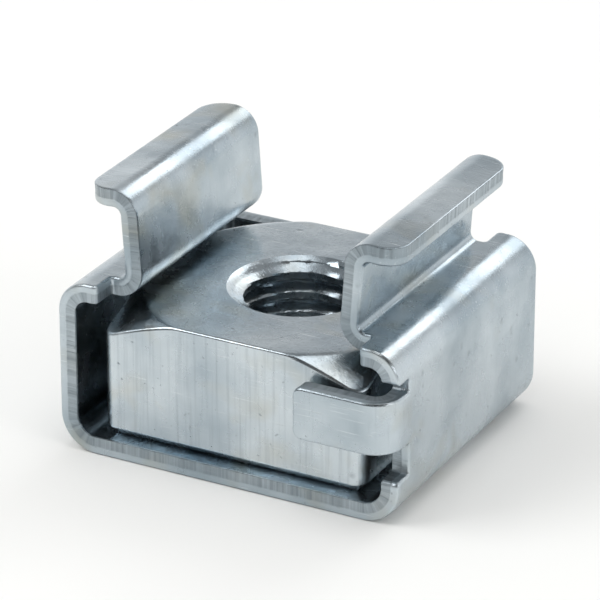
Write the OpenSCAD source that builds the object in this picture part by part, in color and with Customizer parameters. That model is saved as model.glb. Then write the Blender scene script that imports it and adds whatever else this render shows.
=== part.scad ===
// Rack cage nut: a square nut that floats in a cage folded from one strip of spring steel.
// The rear plate lies on z = 0 and the thread's axis is +Z, which is the way the screw leaves.
// The strip runs along X: rear plate, end walls, shoulders, spring wings and lips.

/* [Square nut] */
// Width of the nut across its flats
nut_w = 10.5; // [9.5:0.1:11.5]
// Thickness of the nut
nut_h = 4.9; // [4:0.1:6]
// Minor diameter of the tapped thread
thread_minor_d = 4.08; // [3:0.02:5]
// Diameter of the countersink at each end of the thread
countersink_d = 5.3; // [5.1:0.1:6.5]
// Depth of each countersink
countersink_depth = 0.35; // [0.2:0.05:0.6]
// Bevel along the rear edges, where the cage's bends pass
nut_bevel = 0.4; // [0.2:0.05:0.7]
// Radius of the four upright corners
nut_corner_r = 0.6; // [0.2:0.1:1]
// Diameter of the circle that the corner bevel leaves on the front face
nut_crown_d = 11.4; // [11:0.1:13]
// Slope of the corner bevel below the front face, in degrees
nut_crown_angle = 30; // [20:1:40]

/* [Cage strip] */
// Thickness of the spring steel
sheet_t = 0.7; // [0.5:0.05:0.9]
// Width of the strip where it wraps the nut
strip_w = 11.1; // [10.6:0.1:12]
// Inside radius of the two bends beside the rear plate
rear_bend_r = 0.7; // [0.4:0.05:1]
// Inside radius of the two bends above the nut
shoulder_bend_r = 0.5; // [0.3:0.05:0.7]
// Diameter of the round hole in the rear plate, which clears the screw's end
rear_hole_d = 6; // [5.3:0.1:7.5]

/* [Room for the nut] */
// How far the nut slides each way along the strip
slide_play = 0.5; // [0.2:0.05:0.8]
// Gap between the nut and the cage's end when it has slid that far
end_gap = 0.05; // [0.02:0.01:0.2]
// Gap between the nut and the shoulders above it
lift_play = 0.35; // [0.15:0.05:0.6]
// Gap between each ear and the side of the nut
ear_gap = 0.3; // [0.15:0.05:0.6]

/* [Spring wings] */
// Side of the rail's square hole that the wings clip into
rail_hole_w = 9.5; // [9:0.1:10]
// Gap between a wing's outer face and the edge of that hole
wing_face_gap = 0.1; // [0.05:0.05:0.3]
// Gap between each edge of a wing and the side of that hole
wing_edge_gap = 0.25; // [0.1:0.05:0.5]
// Thickest rail that fits between the shoulders and the lips
grip = 2.7; // [1.6:0.1:3.6]
// Outward lean of each wing, in degrees
wing_splay = 4; // [0:2:6]
// Inside radius of the bend at the foot of each wing
wing_bend_r = 0.3; // [0.2:0.05:0.5]
// Length of narrow strip between each shoulder and that bend
wing_relief = 0.25; // [0.1:0.05:0.3]
// How far each lip reaches out from the face of its wing
lip_reach = 1.35; // [1:0.05:1.8]
// Inside radius of the bend between wing and lip
lip_bend_r = 0.3; // [0.2:0.05:0.45]
// Radius of the two corners of each lip
lip_corner_r = 0.9; // [0.2:0.05:0.9]

/* [Ears] */
// How far each ear reaches in from the outside of its end wall
ear_reach = 3.8; // [2.8:0.1:4.6]
// Height of each ear
ear_h = 2; // [1.4:0.1:2.4]
// Inside radius of the bend beside each ear
ear_bend_r = 0.4; // [0.25:0.05:0.5]
// Radius of the two free corners of each ear
ear_corner_r = 0.35; // [0.1:0.05:0.6]
// Height of the relief notch behind each ear
rear_relief_h = 1.2; // [0.5:0.1:1.2]
// Height of the relief notch in front of each ear
front_relief_h = 0.5; // [0.3:0.1:0.8]
// How far both notches run past the ear's bend
relief_depth = 0.45; // [0.2:0.05:0.8]

/* [Hidden] */
$fn = 96;
past = 1; // how far a cut runs past the surface that it opens

// The room inside the cage: a bend takes more room than a wall where the nut's bevel doesn't clear it
room_half_l = nut_w / 2 + slide_play + end_gap + max(0, rear_bend_r - nut_bevel);
room_h = nut_h + lift_play;
cage_half_l = room_half_l + sheet_t;
shoulder_z = sheet_t + room_h + sheet_t;

// The wings stand at the rail's hole and pass through it
wing_x = rail_hole_w / 2 - wing_face_gap;
wing_w = rail_hole_w - 2 * wing_edge_gap;

// The ears close the strip's open sides, on the nut's own side faces
ear_y = nut_w / 2 + ear_gap;
ear_bend_y = ear_y - ear_bend_r;
ear_top_z = shoulder_z - sheet_t - shoulder_bend_r - front_relief_h;
ear_z = ear_top_z - ear_h / 2;
notch_y = ear_bend_y - relief_depth;
notch_h = rear_relief_h + ear_h + front_relief_h;

// Each fold is [flat length, width, turn, inside radius]; a turn above 0 is towards the nut
strip_folds = [
    [room_half_l - rear_bend_r, strip_w, 90, rear_bend_r],
    [room_h - rear_bend_r - shoulder_bend_r, strip_w, 90, shoulder_bend_r],
    [room_half_l - shoulder_bend_r - wing_x - wing_bend_r - wing_relief, strip_w, 0, 0],
    [wing_relief, wing_w, -(90 + wing_splay), wing_bend_r],
    [grip - wing_bend_r - lip_bend_r, wing_w, -90, lip_bend_r]
];
ear_folds = [
    [relief_depth, ear_h, 90, ear_bend_r]
];

// One bend towards the nut. It starts at the origin, heading +X, with the strip's outer face on z = 0
module inward_bend(turn, inside_r, width) {
    translate([0, 0, sheet_t + inside_r])
        rotate([90, 0, 0])
            rotate([0, 0, -90])
                rotate_extrude(angle = turn)
                    translate([inside_r, -width / 2])
                        square([sheet_t, width]);
}

// One bend either way: a bend away from the nut is the same bend, turned over
module bend(turn, inside_r, width) {
    if (turn > 0)
        inward_bend(turn, inside_r, width);
    if (turn < 0)
        translate([0, 0, sheet_t])
            mirror([0, 0, 1])
                inward_bend(-turn, inside_r, width);
}

// Moves what follows to the far end of a bend
module after_bend(turn, inside_r) {
    axis_z = turn > 0 ? sheet_t + inside_r : -inside_r;
    translate([0, 0, axis_z])
        rotate([0, -turn, 0])
            translate([0, 0, -axis_z])
                children();
}

// Walks along a strip fold by fold, and puts the children at its end
module strip(folds, i = 0) {
    if (i < len(folds)) {
        length = folds[i][0];
        width = folds[i][1];
        turn = folds[i][2];
        inside_r = folds[i][3];
        translate([0, -width / 2, 0])
            cube([length, width, sheet_t]);
        translate([length, 0, 0]) {
            bend(turn, inside_r, width);
            after_bend(turn, inside_r)
                strip(folds, i + 1)
                    children();
        }
    } else {
        children();
    }
}

// The free end of a strip, with its two corners rounded
module free_end(length, width, corner_r) {
    linear_extrude(sheet_t)
        intersection() {
            translate([0, -width / 2])
                square([length, width]);
            union() {
                translate([0, -width / 2])
                    square([length - corner_r, width]);
                translate([0, corner_r - width / 2])
                    square([length, width - 2 * corner_r]);
                for (side = [-1, 1])
                    translate([length - corner_r, side * (width / 2 - corner_r)])
                        circle(corner_r);
            }
        }
}

// Half of the folded strip, from the middle of the rear plate to the lip
module half_strip() {
    strip(strip_folds)
        free_end(lip_reach - lip_bend_r, wing_w, lip_corner_r);
}

// The place beside an end wall where an ear leaves it, heading along the wall
module at_ear() {
    translate([cage_half_l, -notch_y, ear_z])
        rotate([90, 0, -90])
            children();
}

// An ear, folded from the end wall across the side of the nut
module ear() {
    at_ear()
        strip(ear_folds)
            free_end(ear_reach - sheet_t - ear_bend_r, ear_h, ear_corner_r);
}

// The notch in the end wall's edge that frees an ear
module ear_notch() {
    at_ear()
        translate([0, -ear_h / 2 - rear_relief_h, -past])
            cube([strip_w / 2 - notch_y + past, notch_h, sheet_t + 2 * past]);
}

// The spring cage: one folded strip with an ear on each open side, at opposite ends
module cage() {
    color("#aab4ba") {
        difference() {
            for (half = [0, 180])
                rotate(half) half_strip();
            for (half = [0, 180])
                rotate(half) ear_notch();
            translate([0, 0, -past])
                cylinder(h = sheet_t + 2 * past, d = rear_hole_d);
        }
        for (half = [0, 180])
            rotate(half) ear();
    }
}

// Outline of the nut seen along its thread
module nut_outline() {
    inner_w = nut_w - 2 * nut_corner_r;
    square([nut_w, inner_w], center = true);
    square([inner_w, nut_w], center = true);
    for (x = [-1, 1], y = [-1, 1])
        translate([x * inner_w / 2, y * inner_w / 2])
            circle(nut_corner_r);
}

// The cone that bevels the nut's corners down from its round front face
module crown() {
    cylinder(h = nut_h, d1 = nut_crown_d + 2 * nut_h / tan(nut_crown_angle), d2 = nut_crown_d);
}

// A 45 degree bevel along the four rear edges
module rear_bevels() {
    bevel_w = nut_bevel * sqrt(2);
    for (side = [0:90:270])
        rotate(side)
            translate([nut_w / 2, 0, 0])
                rotate([0, 45, 0])
                    cube([bevel_w, nut_w + 2 * past, bevel_w], center = true);
}

// The drilled hole with a countersink at each end
module thread_hole() {
    thread_r = thread_minor_d / 2;
    mouth_r = countersink_d / 2;
    rotate_extrude()
        polygon([
            [0, -past],
            [mouth_r, -past],
            [mouth_r, 0],
            [thread_r, countersink_depth],
            [thread_r, nut_h - countersink_depth],
            [mouth_r, nut_h],
            [mouth_r, nut_h + past],
            [0, nut_h + past]
        ]);
}

// The square nut, resting on the rear plate
module square_nut() {
    color("#b4bcc0")
        translate([0, 0, sheet_t])
            difference() {
                intersection() {
                    linear_extrude(nut_h) nut_outline();
                    crown();
                }
                rear_bevels();
                thread_hole();
            }
}

cage();
square_nut();
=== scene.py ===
"""A square nut that floats in a cage folded from one strip of spring steel, both zinc plated.

Lengths in the shapes are millimetres, and mesh_piece turns them to metres. Sizes are those of the CAD solids:
the strip is drawn flat, as it is blanked, and then folded by the same flats and bends.
"""

import bmesh
import bpy
import numpy as np
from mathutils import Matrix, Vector
from mathutils.geometry import delaunay_2d_cdt


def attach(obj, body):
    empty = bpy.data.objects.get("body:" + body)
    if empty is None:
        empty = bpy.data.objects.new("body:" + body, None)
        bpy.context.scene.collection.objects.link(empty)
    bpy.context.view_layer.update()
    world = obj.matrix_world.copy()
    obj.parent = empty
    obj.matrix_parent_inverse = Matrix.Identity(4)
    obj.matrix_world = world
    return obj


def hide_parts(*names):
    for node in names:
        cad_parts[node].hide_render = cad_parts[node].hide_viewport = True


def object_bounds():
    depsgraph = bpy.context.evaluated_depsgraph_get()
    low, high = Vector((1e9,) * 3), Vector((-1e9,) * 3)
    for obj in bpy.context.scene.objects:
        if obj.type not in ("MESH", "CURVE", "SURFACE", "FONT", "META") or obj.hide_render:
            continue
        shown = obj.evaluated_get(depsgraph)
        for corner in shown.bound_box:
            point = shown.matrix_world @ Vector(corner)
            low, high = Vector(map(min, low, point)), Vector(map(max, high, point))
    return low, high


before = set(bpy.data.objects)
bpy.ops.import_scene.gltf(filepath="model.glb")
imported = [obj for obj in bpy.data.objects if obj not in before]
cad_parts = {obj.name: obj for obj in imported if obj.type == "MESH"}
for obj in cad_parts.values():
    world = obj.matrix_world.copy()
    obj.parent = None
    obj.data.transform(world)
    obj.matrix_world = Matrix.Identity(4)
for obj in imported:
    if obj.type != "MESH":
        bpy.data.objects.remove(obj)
cad_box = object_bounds()

# Spring steel strip
SHEET = 0.7
STRIP_HALF = 5.55
WING_HALF = 4.5
REAR_HOLE_R = 3.0
NOTCH_Y = 4.7
NOTCH_Z = (1.75, 5.45)
EAR_Z = (2.95, 4.95)
# Flat length, then a bend in degrees towards the nut (below 0 is away from it), and its inside radius
STRIP_FOLDS = ((5.4, 90, 0.7), (4.05, 90, 0.5), (0.65, -94, 0.3), (2.1, -90, 0.3), (1.05, 0, 0))
EAR_FOLDS = ((0.45, 90, 0.4), (2.7, 0, 0))
# How far the strip keeps its full width past the bend above the nut
SHOULDER = 0.4
# Corners of the blank: of the wide strip, at the foot of notches and wings, of the ears and of the lips
STRIP_CORNER_R = 0.2
FOOT_R = 0.12
EAR_CORNER_R = 0.35
LIP_CORNER_R = 0.9
# Blanking leaves one edge rolled over and the other nearly sharp, and a burnished band above the torn one
ROLLED_R = 0.11
BURR_R = 0.045
RIM = 0.15
BURNISHED = 0.27
TEAR_STEP = 0.06
TORN_BACK = 0.018
# A bend has an edge across the strip every this many degrees
BEND_STEP = 4

# Square nut
NUT_FOOT = SHEET
NUT_H = 4.9
NUT_HALF = 5.25
NUT_CORNER_R = 0.6
CROWN_R = 5.7
CROWN_SLOPE = np.tan(np.radians(30))
CROWN_ROUND = 0.04
EDGE_R = 0.1
MOUTH_R = 2.65
MOUTH_DEPTH = 0.35
MOUTH_ROUND = 0.03
# Depth into the nut and height of points down the bevel along its rear edges, from the side to the rear face
REAR_BEVEL = ((0, 0.46), (0.004, 0.42), (0.02, 0.385), (0.38, 0.022), (0.415, 0.004), (0.45, 0), (0.5, 0))
# Tapped 10-32: 32 grooves to the inch, 60 degree flanks
PITCH = 25.4 / 32
MINOR_R = 2.04
MAJOR_R = 2.413
# Rows of one turn, as shares of the pitch: root, flank, crest and flank, with close rows at each edge between them
THREAD_ROWS = (
    0, 0.045, 0.065, 0.1, 0.2, 0.29, 0.325, 0.345, 0.39, 0.5, 0.61, 0.655, 0.675, 0.71, 0.8, 0.9, 0.935, 0.955,
)

# Object coordinates are in metres, so a pattern whose grain is g millimetres has a scale of PER_MM / g
PER_MM = 1000.0


def bend_arc(turn, inner_r):
    """Length of a bend at half the sheet's thickness: angle times the radius there."""
    return abs(np.radians(turn)) * (inner_r + SHEET / 2)


def bend_cuts(start, turn, inner_r):
    """Places along the flat strip that are evenly spaced over a bend, from its start to its start plus its length."""
    return np.linspace(start, start + bend_arc(turn, inner_r), int(abs(turn) / BEND_STEP) + 1)


def fold_starts(folds):
    """Where each flat and each bend starts along the flat strip, as pairs, from the running sum of their lengths."""
    lengths = np.array([(flat, bend_arc(turn, inner_r)) for flat, turn, inner_r in folds])
    return np.concatenate([[0], np.cumsum(lengths.ravel())[:-1]]).reshape(-1, 2)


def fold(along, up, folds):
    """Carries points of the flat strip to their folded place, and returns how far out and how high they lie.

    On a flat, place = start + length times the heading + height times the heading's normal.
    In a bend, the point turns round the bend's axis by its arc length over the radius at half thickness, at its own
    distance from that axis, which lies above the sheet for a bend towards the nut and below it for one away.
    """
    out, high = np.array(along, float), np.array(up, float)
    begin, heading, foot = 0.0, 0.0, np.zeros(2)
    for flat, turn, inner_r in folds:
        reached = along >= begin
        ahead, rise = np.array([np.cos(heading), np.sin(heading)]), np.array([-np.sin(heading), np.cos(heading)])
        place = foot + np.outer(along - begin, ahead) + np.outer(up, rise)
        out, high = np.where(reached, place[:, 0], out), np.where(reached, place[:, 1], high)
        foot, begin = foot + flat * ahead, begin + flat
        if turn:
            side, whole = np.sign(turn), abs(np.radians(turn))
            axis = SHEET + inner_r if turn > 0 else -inner_r
            angle = np.clip((along - begin) / (inner_r + SHEET / 2), 0, whole)
            place = (
                foot
                + np.outer(np.abs(axis - up) * np.sin(angle), ahead)
                + np.outer(axis - side * np.abs(axis - up) * np.cos(angle), rise)
            )
            reached = along >= begin
            out, high = np.where(reached, place[:, 0], out), np.where(reached, place[:, 1], high)
            foot = foot + abs(axis) * np.sin(whole) * ahead + (axis - side * abs(axis) * np.cos(whole)) * rise
            heading, begin = heading + side * whole, begin + bend_arc(turn, inner_r)
    return out, high


def rounded_outline(corners, inset, steps=14):
    """A closed outline of square corners, each an arc: points = arc centre + radius times a turning unit vector.

    corners is rows of (along, across, radius), walked anticlockwise. Insetting the outline shortens the radius of an
    outer corner and lengthens that of an inner one, and leaves the centres. Returns the points and their outward
    normals.
    """
    place, radius = corners[:, :2], corners[:, 2]
    back, ahead = np.roll(place, 1, 0) - place, np.roll(place, -1, 0) - place
    back /= np.linalg.norm(back, axis=1)[:, None]
    ahead /= np.linalg.norm(ahead, axis=1)[:, None]
    outer = np.sign(-back[:, 0] * ahead[:, 1] + back[:, 1] * ahead[:, 0])
    centre = place + radius[:, None] * (back + ahead)
    angle = np.linspace(0, np.pi / 2, steps)[None, :, None]
    spoke = -ahead[:, None] * np.cos(angle) - back[:, None] * np.sin(angle)
    points = centre[:, None] + (radius - inset * outer)[:, None, None] * spoke
    return points.reshape(-1, 2), (outer[:, None, None] * spoke).reshape(-1, 2)


def split_at(points, normals, axis, values):
    """Adds a point to a closed outline wherever it crosses one of the values on an axis, by linear interpolation."""
    ahead, ahead_normals = np.roll(points, -1, 0), np.roll(normals, -1, 0)
    run = ahead[:, axis] - points[:, axis]
    share = (values[None] - points[:, axis, None]) / np.where(np.abs(run) < 1e-9, np.inf, run)[:, None]
    edge, cut = np.nonzero((share > 1e-6) & (share < 1 - 1e-6))
    share = share[edge, cut][:, None]
    new = points[edge] + share * (ahead[edge] - points[edge])
    new[:, axis] = values[cut]
    order = np.argsort(np.concatenate([np.arange(len(points)), edge + share[:, 0]]), kind="stable")
    return (
        np.concatenate([points, new])[order],
        np.concatenate([normals, normals[edge] + share * (ahead_normals[edge] - normals[edge])])[order],
    )


def lies_within(points, tail, head):
    """Whether each point lies inside an outline: a level ray from it crosses the outline an odd number of times."""
    x, y = points[:, 0, None], points[:, 1, None]
    spans = (tail[:, 1] > y) != (head[:, 1] > y)
    with np.errstate(divide="ignore", invalid="ignore"):
        crossing = tail[:, 0] + (y - tail[:, 1]) * (head[:, 0] - tail[:, 0]) / (head[:, 1] - tail[:, 1])
    return np.sum(spans & (x < crossing), axis=1) % 2 == 1


def ties(points, axis, values, near=None):
    """Pairs of an outline's points that lie on the same one of the values of an axis, so that no facet spans a bend.

    Given a place along the strip, only points within half an ear's height of it count.
    """
    pairs = []
    for value in values:
        on = np.abs(points[:, axis] - value) < 1e-9
        if near is not None:
            on &= np.abs(points[:, 0] - near) < (EAR_Z[1] - EAR_Z[0]) / 2
        found = np.flatnonzero(on)
        if len(found) == 2:
            pairs.append(found)
    return np.array(pairs)


def mesh_piece(name, points, faces, smooth_to, merge=False):
    """A mesh object at the origin from points in millimetres and rows of corner indices, smooth below an edge angle.

    Where a grid's rows run together, their points are merged, and its faces are then turned outwards.
    """
    mesh = bpy.data.meshes.new(name)
    mesh.from_pydata(points * 1e-3, [], faces)
    if merge:
        shell = bmesh.new()
        shell.from_mesh(mesh)
        bmesh.ops.remove_doubles(shell, verts=shell.verts, dist=2e-7)
        bmesh.ops.recalc_face_normals(shell, faces=shell.faces)
        shell.to_mesh(mesh)
        shell.free()
    mesh.shade_smooth()
    mesh.set_sharp_from_angle(angle=np.radians(smooth_to))
    made = bpy.data.objects.new(name, mesh)
    bpy.context.scene.collection.objects.link(made)
    return made


def folded_cage():
    """The cage: the strip's blank with its rim, folded.

    The rim is a profile carried round the blank's outline and round its hole: rolled edge, burnished band, torn band,
    burr edge. The two flat sides are filled between the rims, with an edge across the strip every few degrees of bend.
    Each point then has a place along the strip, a place across it and a height in the sheet, and fold gives where it
    goes: first across, for the two ears, and then along.
    """
    starts = fold_starts(STRIP_FOLDS)
    wall, end = starts[1, 0], starts[-1, 0] + STRIP_FOLDS[-1][0]
    wall_foot = SHEET + STRIP_FOLDS[0][2]
    notch = wall + np.array(NOTCH_Z) - wall_foot
    ear = wall + np.array(EAR_Z) - wall_foot
    shoulder = starts[2, 0] + SHOULDER
    ear_starts = fold_starts(EAR_FOLDS)
    ear_end = NOTCH_Y + ear_starts[-1, 0] + EAR_FOLDS[-1][0]
    half = np.array([
        (notch[0], -STRIP_HALF, STRIP_CORNER_R), (notch[0], -NOTCH_Y, FOOT_R),
        (ear[0], -NOTCH_Y, FOOT_R), (ear[0], -ear_end, EAR_CORNER_R),
        (ear[1], -ear_end, EAR_CORNER_R), (ear[1], -NOTCH_Y, FOOT_R),
        (notch[1], -NOTCH_Y, FOOT_R), (notch[1], -STRIP_HALF, STRIP_CORNER_R),
        (shoulder, -STRIP_HALF, STRIP_CORNER_R), (shoulder, -WING_HALF, FOOT_R),
        (end, -WING_HALF, LIP_CORNER_R), (end, WING_HALF, LIP_CORNER_R),
        (shoulder, WING_HALF, FOOT_R), (shoulder, STRIP_HALF, STRIP_CORNER_R),
    ])
    edge, edge_out = rounded_outline(np.concatenate([half, half * (-1, -1, 1)]), RIM)

    steps = [bend_cuts(bend, turn, inner_r) for (_, bend), (_, turn, inner_r) in zip(starts, STRIP_FOLDS) if turn]
    along_cuts = np.concatenate(steps + [-s for s in steps])
    ear_bend = NOTCH_Y + bend_cuts(ear_starts[0, 1], *EAR_FOLDS[0][1:])
    edge, edge_out = split_at(edge, edge_out, 0, along_cuts)
    edge, edge_out = split_at(edge, edge_out, 1, np.concatenate([ear_bend, -ear_bend]))

    angle = np.linspace(0, 2 * np.pi, 120, endpoint=False)
    spoke = np.stack([np.cos(angle), -np.sin(angle)], 1)
    path = np.concatenate([edge, spoke * (REAR_HOLE_R + RIM)])
    outward = np.concatenate([edge_out, -spoke])
    count = len(edge)
    after = np.concatenate([np.roll(np.arange(count), -1), count + np.roll(np.arange(len(spoke)), -1)])

    ear_middle = ear.mean()
    lines = np.concatenate([
        np.stack([np.arange(len(path)), after], 1),
        ties(edge, 0, along_cuts),
        ties(edge, 1, -ear_bend, ear_middle),
        ties(edge, 1, ear_bend, -ear_middle),
    ])
    _, _, cap, origin, _, _ = delaunay_2d_cdt(path.tolist(), lines.tolist(), [], 0, 1e-7, True)
    cap = np.array(origin)[:, 0][np.array(cap)]
    cap = cap[lies_within(path[cap].mean(1), path, path[after])]

    quarter = np.radians(np.linspace(0, 90, 7))
    rolled = np.stack([RIM - ROLLED_R + ROLLED_R * np.sin(quarter), ROLLED_R - ROLLED_R * np.cos(quarter)], 1)
    burr_out = RIM - TORN_BACK - BURR_R
    burr = np.stack([burr_out + BURR_R * np.cos(quarter[::2]), SHEET - BURR_R + BURR_R * np.sin(quarter[::2])], 1)
    bands = np.array([(RIM, BURNISHED), (RIM - TORN_BACK, BURNISHED + TEAR_STEP)])
    profile = np.concatenate([[(0, 0)], rolled, bands, burr, [(0, SHEET)]])
    # How torn each row of the profile is: the flat and the roll's start, the burnished band, the torn band, the burr
    torn = np.repeat([0, 0.35, 1, 0], [5, 4, 3, 3])

    rows, size = len(profile), len(path)
    flat = path + profile[:, :1, None] * outward
    up = np.repeat(profile[:, 1], size)
    flat = flat.reshape(-1, 2)
    grid = np.arange(rows * size).reshape(rows, size)
    rim = np.stack([grid[:-1], grid[:-1, after], grid[1:, after], grid[1:]], -1).reshape(-1, 4)

    half_turn = np.where(flat[:, 0] < 0, -1, 1)
    along, across = flat[:, 0] * half_turn, flat[:, 1] * half_turn
    in_ear = (np.abs(along - ear_middle) < (EAR_Z[1] - EAR_Z[0] + RIM) / 2) & (across < -NOTCH_Y)
    ear_out, ear_up = fold(np.where(in_ear, -across - NOTCH_Y, 0), up, EAR_FOLDS)
    across = np.where(in_ear, -NOTCH_Y - ear_out, across)
    x, z = fold(along, np.where(in_ear, ear_up, up), STRIP_FOLDS)
    points = np.stack([x * half_turn, across * half_turn, z], 1)

    faces = rim.tolist() + cap[:, ::-1].tolist() + (cap + (rows - 1) * size).tolist()
    made = mesh_piece("folded_cage", points, faces, 38)
    corner = np.zeros(len(made.data.loops), int)
    made.data.loops.foreach_get("vertex_index", corner)
    made.data.uv_layers.new(name="blank_mm").data.foreach_set("uv", flat[corner].ravel())
    made.data.attributes.new("torn", "FLOAT", "POINT").data.foreach_set("value", np.repeat(torn, size))
    return made


def square_reach(angle, half, corner):
    """Distance from the axis to a square with rounded corners, along an angle.

    The angle is folded to the nearest side's middle. On the side it is half / cos; round the corner it is the far
    crossing of the ray with the corner's circle, centred half less radius from both middles.
    """
    turn = np.abs((angle + np.pi / 4) % (np.pi / 2) - np.pi / 4)
    middle = half - corner
    ray = middle * (np.cos(turn) + np.sin(turn))
    corner_reach = ray + np.sqrt(np.maximum(ray**2 - 2 * middle**2 + corner**2, 0))
    return np.where(half * np.tan(turn) <= middle, half / np.cos(turn), corner_reach)


def tapped_nut():
    """The nut: one closed grid, round the axis by once round its section: thread, front face, sides, rear face.

    The thread is closed grooves one pitch apart, not a true helix: its radius depends on height alone. It falls from
    the major one by the distance from the root's middle times 1 / tan 30, and is held between the major and minor
    radii. The grid's rows climb one pitch a turn, anticlockwise, and stop at both faces. The radius is the larger of
    that and the countersink's cone, blended as half of (their sum + the root of their difference squared plus a
    little).
    The front face drops at the corners as a 30 degree cone, blended with the flat by half of (q + root of q squared
    plus a little), and the four rear edges are cut back at 45 degrees.
    """
    flank = np.arctan((NUT_HALF - NUT_CORNER_R) / NUT_HALF)
    side = np.linspace(0, flank, 24, endpoint=False)
    corner = np.linspace(flank, np.pi / 2 - flank, 12, endpoint=False)
    quadrant = np.concatenate([side, corner, np.pi / 2 - flank + side])
    angle = np.concatenate([(quadrant + np.arange(4)[:, None] * np.pi / 2).ravel(), [2 * np.pi]])
    cos_turn = np.cos(np.abs((angle + np.pi / 4) % (np.pi / 2) - np.pi / 4))
    reach = square_reach(angle, NUT_HALF, NUT_CORNER_R)

    turns = np.arange(-1, int(NUT_H / PITCH) + 2)[:, None] + THREAD_ROWS
    depth = (turns.ravel()[:, None] + angle / (2 * np.pi)) * PITCH
    thread_z = np.clip(depth, 0, NUT_H)
    from_root = np.abs((thread_z / PITCH + 0.5) % 1 - 0.5) * PITCH
    cut = np.clip(MAJOR_R + (PITCH / 16 - from_root) / np.tan(np.radians(30)), MINOR_R, MAJOR_R)
    to_face = np.minimum(thread_z, NUT_H - thread_z)
    cone = MOUTH_R - (MOUTH_R - MINOR_R) * to_face / MOUTH_DEPTH
    thread_r = (cut + cone + np.sqrt((cut - cone)**2 + MOUTH_ROUND**2)) / 2

    # Rows of the front face, closest where it turns into the cone, and kept 0.02 mm apart where the side comes first
    targets = np.array([MOUTH_R + 0.05, 3.3, 4.3, 5.0, 5.4, 5.5, 5.56, 5.62, 5.67, 5.73, 5.78, 5.84, 5.9, 6.0])
    room = 0.02 * np.arange(len(targets), 0, -1)[:, None]
    quarter = np.radians(np.linspace(0, 90, 7))[:, None]
    front_r = np.concatenate([
        np.minimum(targets[:, None], reach - EDGE_R - room),
        reach - EDGE_R * (1 - np.sin(quarter)),
        [reach, reach],
    ])
    q = (front_r - CROWN_R) * CROWN_SLOPE
    front_z = NUT_H - (q + np.sqrt(q**2 + CROWN_ROUND**2)) / 2
    front_z[len(targets):-2] -= EDGE_R * (1 - np.cos(quarter))
    # The side runs from just below the rounded edge to just above the rear bevel
    front_z[-2] -= EDGE_R + 0.05
    front_z[-1] = 0.5

    bevel = np.array(REAR_BEVEL)
    bevel_r = np.minimum(reach, (NUT_HALF - bevel[:, :1]) / cos_turn)
    rear_r = np.array([4.0, MOUTH_R + 0.05])[:, None] + 0 * angle
    radius = np.concatenate([thread_r, front_r, bevel_r, rear_r])
    height = np.concatenate([thread_z, front_z, bevel[:, 1:] + 0 * angle, 0 * rear_r])

    points = np.stack([radius * np.cos(angle), radius * np.sin(angle), NUT_FOOT + height], -1)
    rows, columns = radius.shape
    grid = np.arange(rows * columns).reshape(rows, columns)
    below = np.roll(grid, -1, 0)
    faces = np.stack([grid[:, :-1], grid[:, 1:], below[:, 1:], below[:, :-1]], -1).reshape(-1, 4)
    return mesh_piece("tapped_nut", points.reshape(-1, 3), faces.tolist(), 25, merge=True)


def colour(hex_code):
    """A linear colour from an sRGB hex value: c / 12.92 below 0.04045, else ((c + 0.055) / 1.055) to the power 2.4."""
    c = np.array([int(hex_code[i:i + 2], 16) for i in (1, 3, 5)]) / 255
    return (*np.where(c < 0.04045, c / 12.92, ((c + 0.055) / 1.055) ** 2.4), 1.0)


def node(tree, kind, inputs=None, **settings):
    """Adds a node with its settings. inputs gives a socket either a value or the output that it is linked to."""
    made = tree.nodes.new(kind)
    for name, value in settings.items():
        setattr(made, name, value)
    for socket, value in (inputs or {}).items():
        if isinstance(value, bpy.types.NodeSocket):
            tree.links.new(value, made.inputs[socket])
        else:
            made.inputs[socket].default_value = value
    return made


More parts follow.
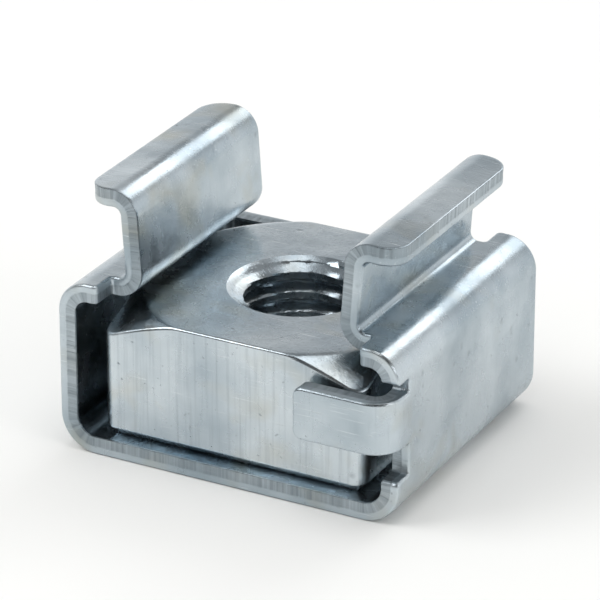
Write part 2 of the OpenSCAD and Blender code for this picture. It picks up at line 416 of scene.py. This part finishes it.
def bright_zinc(name, pale, deep, warm):
    """Bright zinc plate with a clear blue passivate over steel: a cold blue-grey metal with a satin shine, cloudy where
    the passivate is thicker, with shallow dents from tumbling in the plating barrel and fine dull specks.

    Returns the material, its nodes, the point on the piece, the colour, the roughness and the relief in millimetres.
    """
    made = bpy.data.materials.new(name)
    made.use_nodes = True
    tree = made.node_tree
    tree.nodes.clear()
    here = node(tree, "ShaderNodeTexCoord").outputs["Object"]

    # Clouds in the passivate 4 mm across, and a warmer tinge in patches of 2.5 mm
    clouds = node(tree, "ShaderNodeTexNoise", {"Vector": here, "Scale": PER_MM / 3.85, "Detail": 3.0}).outputs["Fac"]
    share = node(tree, "ShaderNodeMapRange", {"Value": clouds, "From Min": 0.38, "From Max": 0.62}).outputs["Result"]
    base = node(tree, "ShaderNodeMix", {"Factor": share, "A": colour(deep), "B": colour(pale)}, data_type="RGBA")
    base = base.outputs["Result"]
    tinge = node(tree, "ShaderNodeTexNoise", {
        "Vector": here, "Scale": PER_MM / 2.45, "Detail": 2.0, "Distortion": 0.6,
    }).outputs["Fac"]
    share = node(tree, "ShaderNodeMapRange", {
        "Value": tinge, "From Min": 0.54, "From Max": 0.76, "To Max": 0.6,
    }).outputs["Result"]
    base = node(tree, "ShaderNodeMix", {"Factor": share, "A": base, "B": colour(warm)}, data_type="RGBA")
    base = base.outputs["Result"]

    # Dull specks 0.1 to 0.2 mm across, where dust or gas kept the plate thin
    specks = node(tree, "ShaderNodeTexNoise", {"Vector": here, "Scale": PER_MM / 0.19, "Detail": 1.0}).outputs["Fac"]
    speck = node(tree, "ShaderNodeMapRange", {"Value": specks, "From Min": 0.72, "From Max": 0.86}).outputs["Result"]
    base = node(tree, "ShaderNodeMix", {"Factor": speck, "A": base, "B": colour("#969FA4")}, data_type="RGBA")
    base = base.outputs["Result"]

    # Haze in the shine, in patches of about 1 mm
    haze = node(tree, "ShaderNodeTexNoise", {"Vector": here, "Scale": PER_MM / 1.1, "Detail": 4.0}).outputs["Fac"]
    rough = node(tree, "ShaderNodeMapRange", {
        "Value": haze, "From Min": 0.3, "From Max": 0.7, "To Min": 0.17, "To Max": 0.34,
    }).outputs["Result"]
    rough = node(tree, "ShaderNodeMath", {0: speck, 1: 0.25, 2: rough}, operation="MULTIPLY_ADD").outputs[0]

    # Dents 0.9 mm across and 7 micrometres deep, and the plate's own grain at 0.08 mm
    dents = node(tree, "ShaderNodeTexNoise", {"Vector": here, "Scale": PER_MM / 0.9, "Detail": 1.5}).outputs["Fac"]
    grit = node(tree, "ShaderNodeTexNoise", {"Vector": here, "Scale": PER_MM / 0.08, "Detail": 2.0}).outputs["Fac"]
    relief = node(tree, "ShaderNodeMath", {0: grit, 1: 0.0018}, operation="MULTIPLY").outputs[0]
    relief = node(tree, "ShaderNodeMath", {0: dents, 1: 0.014, 2: relief}, operation="MULTIPLY_ADD").outputs[0]

    # Nicks from one piece knocking another: pits 0.25 mm across and up to 9 micrometres deep, in every other 1 mm cell
    wander = node(tree, "ShaderNodeTexNoise", {"Vector": here, "Scale": PER_MM / 0.33, "Detail": 1.0})
    bent = node(tree, "ShaderNodeVectorMath", {
        0: wander.outputs["Color"], 1: (2.2e-4, 2.2e-4, 2.2e-4), 2: here,
    }, operation="MULTIPLY_ADD").outputs["Vector"]
    cells = node(tree, "ShaderNodeTexVoronoi", {"Vector": bent, "Scale": PER_MM / 1.0}).outputs
    pit = node(tree, "ShaderNodeMapRange", {
        "Value": cells["Distance"], "From Min": 0.02, "From Max": 0.17, "To Min": 1.0, "To Max": 0.0,
    }, interpolation_type="SMOOTHSTEP").outputs["Result"]
    chance = node(tree, "ShaderNodeSeparateColor", {"Color": cells["Color"]}).outputs["Red"]
    chance = node(tree, "ShaderNodeMapRange", {"Value": chance, "From Min": 0.5, "From Max": 1.0}).outputs["Result"]
    pit = node(tree, "ShaderNodeMath", {0: pit, 1: chance}, operation="MULTIPLY").outputs[0]
    relief = node(tree, "ShaderNodeMath", {0: pit, 1: -0.009, 2: relief}, operation="MULTIPLY_ADD").outputs[0]

    # Rubbed scratches 0.06 mm wide and 2 mm long, two ways aslant
    scratch = 0.0
    for slant in ((0.5, 0.9, 0.4), (-0.6, -0.7, 1.9)):
        aslant = node(tree, "ShaderNodeMapping", {
            "Vector": here, "Rotation": slant, "Scale": (PER_MM / 1.7, PER_MM / 0.065, PER_MM / 0.065),
        }).outputs["Vector"]
        rubbed = node(tree, "ShaderNodeTexNoise", {"Vector": aslant, "Scale": 1.0, "Detail": 1.0, "Distortion": 0.3})
        rubbed = node(tree, "ShaderNodeMapRange", {
            "Value": rubbed.outputs["Fac"], "From Min": 0.68, "From Max": 0.78,
        }).outputs["Result"]
        scratch = node(tree, "ShaderNodeMath", {0: rubbed, 1: scratch}, operation="MAXIMUM").outputs[0]
    relief = node(tree, "ShaderNodeMath", {0: scratch, 1: -0.0025, 2: relief}, operation="MULTIPLY_ADD").outputs[0]

    # The nicks are coloured darker towards their middles, and a scratch lays the zinc bare
    share = node(tree, "ShaderNodeMath", {0: pit, 1: 0.5}, operation="MULTIPLY").outputs[0]
    base = node(tree, "ShaderNodeMix", {"Factor": share, "A": base, "B": colour("#7C868C")}, data_type="RGBA")
    base = base.outputs["Result"]
    share = node(tree, "ShaderNodeMath", {0: scratch, 1: 0.6}, operation="MULTIPLY").outputs[0]
    base = node(tree, "ShaderNodeMix", {"Factor": share, "A": base, "B": colour("#DEE5E8")}, data_type="RGBA")
    return made, tree, here, base.outputs["Result"], rough, relief


def finish_metal(tree, base, rough, relief):
    """Joins colour, roughness and relief to a metal: the relief is in millimetres, so one unit of it is 1 mm high."""
    bump = node(tree, "ShaderNodeBump", {"Height": relief, "Distance": 1 / PER_MM, "Strength": 1.0})
    metal = node(tree, "ShaderNodeBsdfPrincipled", {
        "Base Color": base, "Metallic": 1.0, "Roughness": rough, "Normal": bump.outputs["Normal"],
    })
    node(tree, "ShaderNodeOutputMaterial", {"Surface": metal.outputs["BSDF"]})


def zinc_on_rolled_strip():
    """Zinc on cold rolled spring strip, blanked and folded. The rolling lines run along the strip, so they follow the
    folds, and the blanked edges are streaked across by the die and duller where the metal tore."""
    made, tree, _, base, rough, relief = bright_zinc("bright_zinc_on_rolled_strip", "#C4CED4", "#A1AEB6", "#B0B0A4")
    blank = node(tree, "ShaderNodeUVMap", uv_map="blank_mm").outputs["UV"]
    torn = node(tree, "ShaderNodeAttribute", attribute_name="torn").outputs["Fac"]

    # Rolling lines 0.1 mm apart and 3 mm long: the blank's own coordinates are in millimetres
    along = node(tree, "ShaderNodeMapping", {"Vector": blank, "Scale": (1 / 2.9, 1 / 0.11, 1)}).outputs["Vector"]
    lines = node(tree, "ShaderNodeTexNoise", {"Vector": along, "Scale": 1.0, "Detail": 5.0, "Roughness": 0.65})
    lines = lines.outputs["Fac"]
    relief = node(tree, "ShaderNodeMath", {0: lines, 1: 0.0035, 2: relief}, operation="MULTIPLY_ADD").outputs[0]
    share = node(tree, "ShaderNodeMapRange", {
        "Value": lines, "From Min": 0.55, "From Max": 0.8, "To Max": 0.35,
    }).outputs["Result"]
    base = node(tree, "ShaderNodeMix", {"Factor": share, "A": base, "B": colour("#8E999F")}, data_type="RGBA")
    base = base.outputs["Result"]

    # Die streaks 0.15 mm apart on the cut edges: the blank's own place doesn't change through the sheet's thickness
    streaks = node(tree, "ShaderNodeTexNoise", {"Vector": blank, "Scale": 1 / 0.155, "Detail": 3.0, "Roughness": 0.7})
    streaks = node(tree, "ShaderNodeMath", {0: streaks.outputs["Fac"], 1: torn}, operation="MULTIPLY").outputs[0]
    relief = node(tree, "ShaderNodeMath", {0: streaks, 1: 0.05, 2: relief}, operation="MULTIPLY_ADD").outputs[0]
    rough = node(tree, "ShaderNodeMath", {0: torn, 1: 0.2, 2: rough}, operation="MULTIPLY_ADD").outputs[0]
    share = node(tree, "ShaderNodeMapRange", {
        "Value": streaks, "From Min": 0.3, "From Max": 0.65, "To Max": 0.75,
    }).outputs["Result"]
    base = node(tree, "ShaderNodeMix", {"Factor": share, "A": base, "B": colour("#828C92")}, data_type="RGBA")
    finish_metal(tree, base.outputs["Result"], rough, relief)
    return made


def zinc_on_pressed_nut():
    """Zinc on a cold pressed, tumbled nut: paler and a little brighter than the strip. The die has drawn fine upright
    lines down its four sides."""
    made, tree, here, base, rough, relief = bright_zinc("bright_zinc_on_pressed_nut", "#CCD5DA", "#ABB7BF", "#BBBAAE")

    # Drawn lines 0.12 mm apart and nearly the nut's height long; on the two faces they show as a fine grain
    drawn = node(tree, "ShaderNodeMapping", {
        "Vector": here, "Scale": (PER_MM / 0.12, PER_MM / 0.12, PER_MM / 3.8),
    }).outputs["Vector"]
    drawn = node(tree, "ShaderNodeTexNoise", {"Vector": drawn, "Scale": 1.0, "Detail": 3.0}).outputs["Fac"]
    relief = node(tree, "ShaderNodeMath", {0: drawn, 1: 0.0035, 2: relief}, operation="MULTIPLY_ADD").outputs[0]
    share = node(tree, "ShaderNodeMapRange", {
        "Value": drawn, "From Min": 0.5, "From Max": 0.75, "To Max": 0.4,
    }).outputs["Result"]
    base = node(tree, "ShaderNodeMix", {"Factor": share, "A": base, "B": colour("#8F9AA1")}, data_type="RGBA")
    finish_metal(tree, base.outputs["Result"], rough, relief)
    return made


def matt_white_paper():
    """Matt white paper: it takes the object's shadow, and from 50 to 130 mm out it turns into the backdrop's white."""
    made = bpy.data.materials.new("matt_white_paper")
    made.use_nodes = True
    tree = made.node_tree
    tree.nodes.clear()
    matt = node(tree, "ShaderNodeBsdfPrincipled", {"Base Color": colour("#F6F6F4"), "Roughness": 0.9}).outputs["BSDF"]
    white = node(tree, "ShaderNodeEmission", {"Color": (1.0, 1.0, 1.0, 1.0), "Strength": 1.0}).outputs["Emission"]
    here = node(tree, "ShaderNodeTexCoord").outputs["Object"]
    reach = node(tree, "ShaderNodeVectorMath", {0: here}, operation="LENGTH").outputs["Value"]
    far = node(tree, "ShaderNodeMapRange", {
        "Value": reach, "From Min": 0.05, "From Max": 0.13,
    }, interpolation_type="SMOOTHSTEP").outputs["Result"]
    path = node(tree, "ShaderNodeLightPath").outputs
    seen = node(tree, "ShaderNodeMath", {0: path["Is Camera Ray"], 1: path["Is Glossy Ray"]}, operation="MAXIMUM")
    share = node(tree, "ShaderNodeMath", {0: far, 1: seen.outputs[0]}, operation="MULTIPLY").outputs[0]
    laid = node(tree, "ShaderNodeMixShader", {0: share, 1: matt, 2: white}).outputs["Shader"]
    node(tree, "ShaderNodeOutputMaterial", {"Surface": laid})
    return made


def pale_room():
    """White behind the object and in what the camera sees. The ceiling and the side of the room behind the camera are
    darker, and metal shows them all; matt surfaces get an even light."""
    world = bpy.data.worlds.new("studio_room")
    world.use_nodes = True
    tree = world.node_tree
    tree.nodes.clear()
    way = node(tree, "ShaderNodeTexCoord").outputs["Generated"]
    split = node(tree, "ShaderNodeSeparateXYZ", {"Vector": way}).outputs
    ceiling = node(tree, "ShaderNodeMapRange", {
        "Value": split["Z"], "From Min": 0.25, "From Max": 0.62, "To Min": 1.0, "To Max": 0.34,
    }, interpolation_type="SMOOTHSTEP").outputs["Result"]
    room = node(tree, "ShaderNodeMapRange", {
        "Value": split["Y"], "From Min": -0.4, "From Max": 0.3, "To Min": 0.2, "To Max": 1.0,
    }, interpolation_type="SMOOTHSTEP").outputs["Result"]
    room = node(tree, "ShaderNodeMath", {0: room, 1: ceiling}, operation="MULTIPLY").outputs["Value"]
    path = node(tree, "ShaderNodeLightPath").outputs
    level = node(tree, "ShaderNodeMix", {"Factor": path["Is Glossy Ray"], "A": 0.66, "B": room}, data_type="FLOAT")
    level = level.outputs["Result"]
    level = node(tree, "ShaderNodeMix", {"Factor": path["Is Camera Ray"], "A": level, "B": 1.0}, data_type="FLOAT")
    back = node(tree, "ShaderNodeBackground", {"Color": (1.0, 1.0, 1.0, 1.0), "Strength": level.outputs["Result"]})
    node(tree, "ShaderNodeOutputWorld", {"Surface": back.outputs["Background"]})
    return world


def studio(middle):
    """A wide pale floor, four soft lamps, a pale room and a long lens 25 degrees above the floor."""
    floor = bpy.data.meshes.new("floor")
    floor.from_pydata([(-2, -2, 0), (2, -2, 0), (2, 2, 0), (-2, 2, 0)], [], [(0, 1, 2, 3)])
    floor.materials.append(matt_white_paper())
    floor = bpy.data.objects.new("floor", floor)
    bpy.context.scene.collection.objects.link(floor)
    bpy.context.scene.world = pale_room()

    # Each lamp's place and width in metres, and its watts; all of them face the object
    for name, place, size, power in (
        ("window_left", (-0.17, -0.12, 0.22), 0.16, 0.30),
        ("panel_right", (0.24, -0.05, 0.12), 0.10, 0.08),
        ("panel_behind", (0.03, 0.25, 0.20), 0.16, 0.16),
        ("panel_above", (0.02, 0.0, 0.34), 0.16, 0.14),
    ):
        lamp = bpy.data.lights.new(name, "AREA")
        lamp.shape, lamp.size, lamp.energy = "SQUARE", size, power
        lamp = bpy.data.objects.new(name, lamp)
        lamp.location = place
        lamp.rotation_mode = "QUATERNION"
        lamp.rotation_quaternion = (Vector(middle) - Vector(place)).to_track_quat("-Z", "Y")
        bpy.context.scene.collection.objects.link(lamp)

    camera = bpy.data.cameras.new("camera")
    camera.lens, camera.clip_start, camera.clip_end = 250.0, 0.01, 10.0
    camera = bpy.data.objects.new("camera", camera)
    azimuth, elevation, distance = np.radians(28), np.radians(25), 0.150
    back = Vector((np.sin(azimuth) * np.cos(elevation), -np.cos(azimuth) * np.cos(elevation), np.sin(elevation)))
    camera.location = Vector(middle) + back * distance
    camera.rotation_mode = "QUATERNION"
    camera.rotation_quaternion = (-back).to_track_quat("-Z", "Y")
    bpy.context.scene.collection.objects.link(camera)
    bpy.context.scene.camera = camera
    bpy.context.scene.view_settings.view_transform = "Standard"


cage = folded_cage()
cage.data.materials.append(zinc_on_rolled_strip())
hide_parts("cage")
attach(cage, "cage")

nut = tapped_nut()
nut.data.materials.append(zinc_on_pressed_nut())
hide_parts("square_nut")
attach(nut, "nut")

studio([(low + high) / 2 for low, high in zip(*cad_box)])
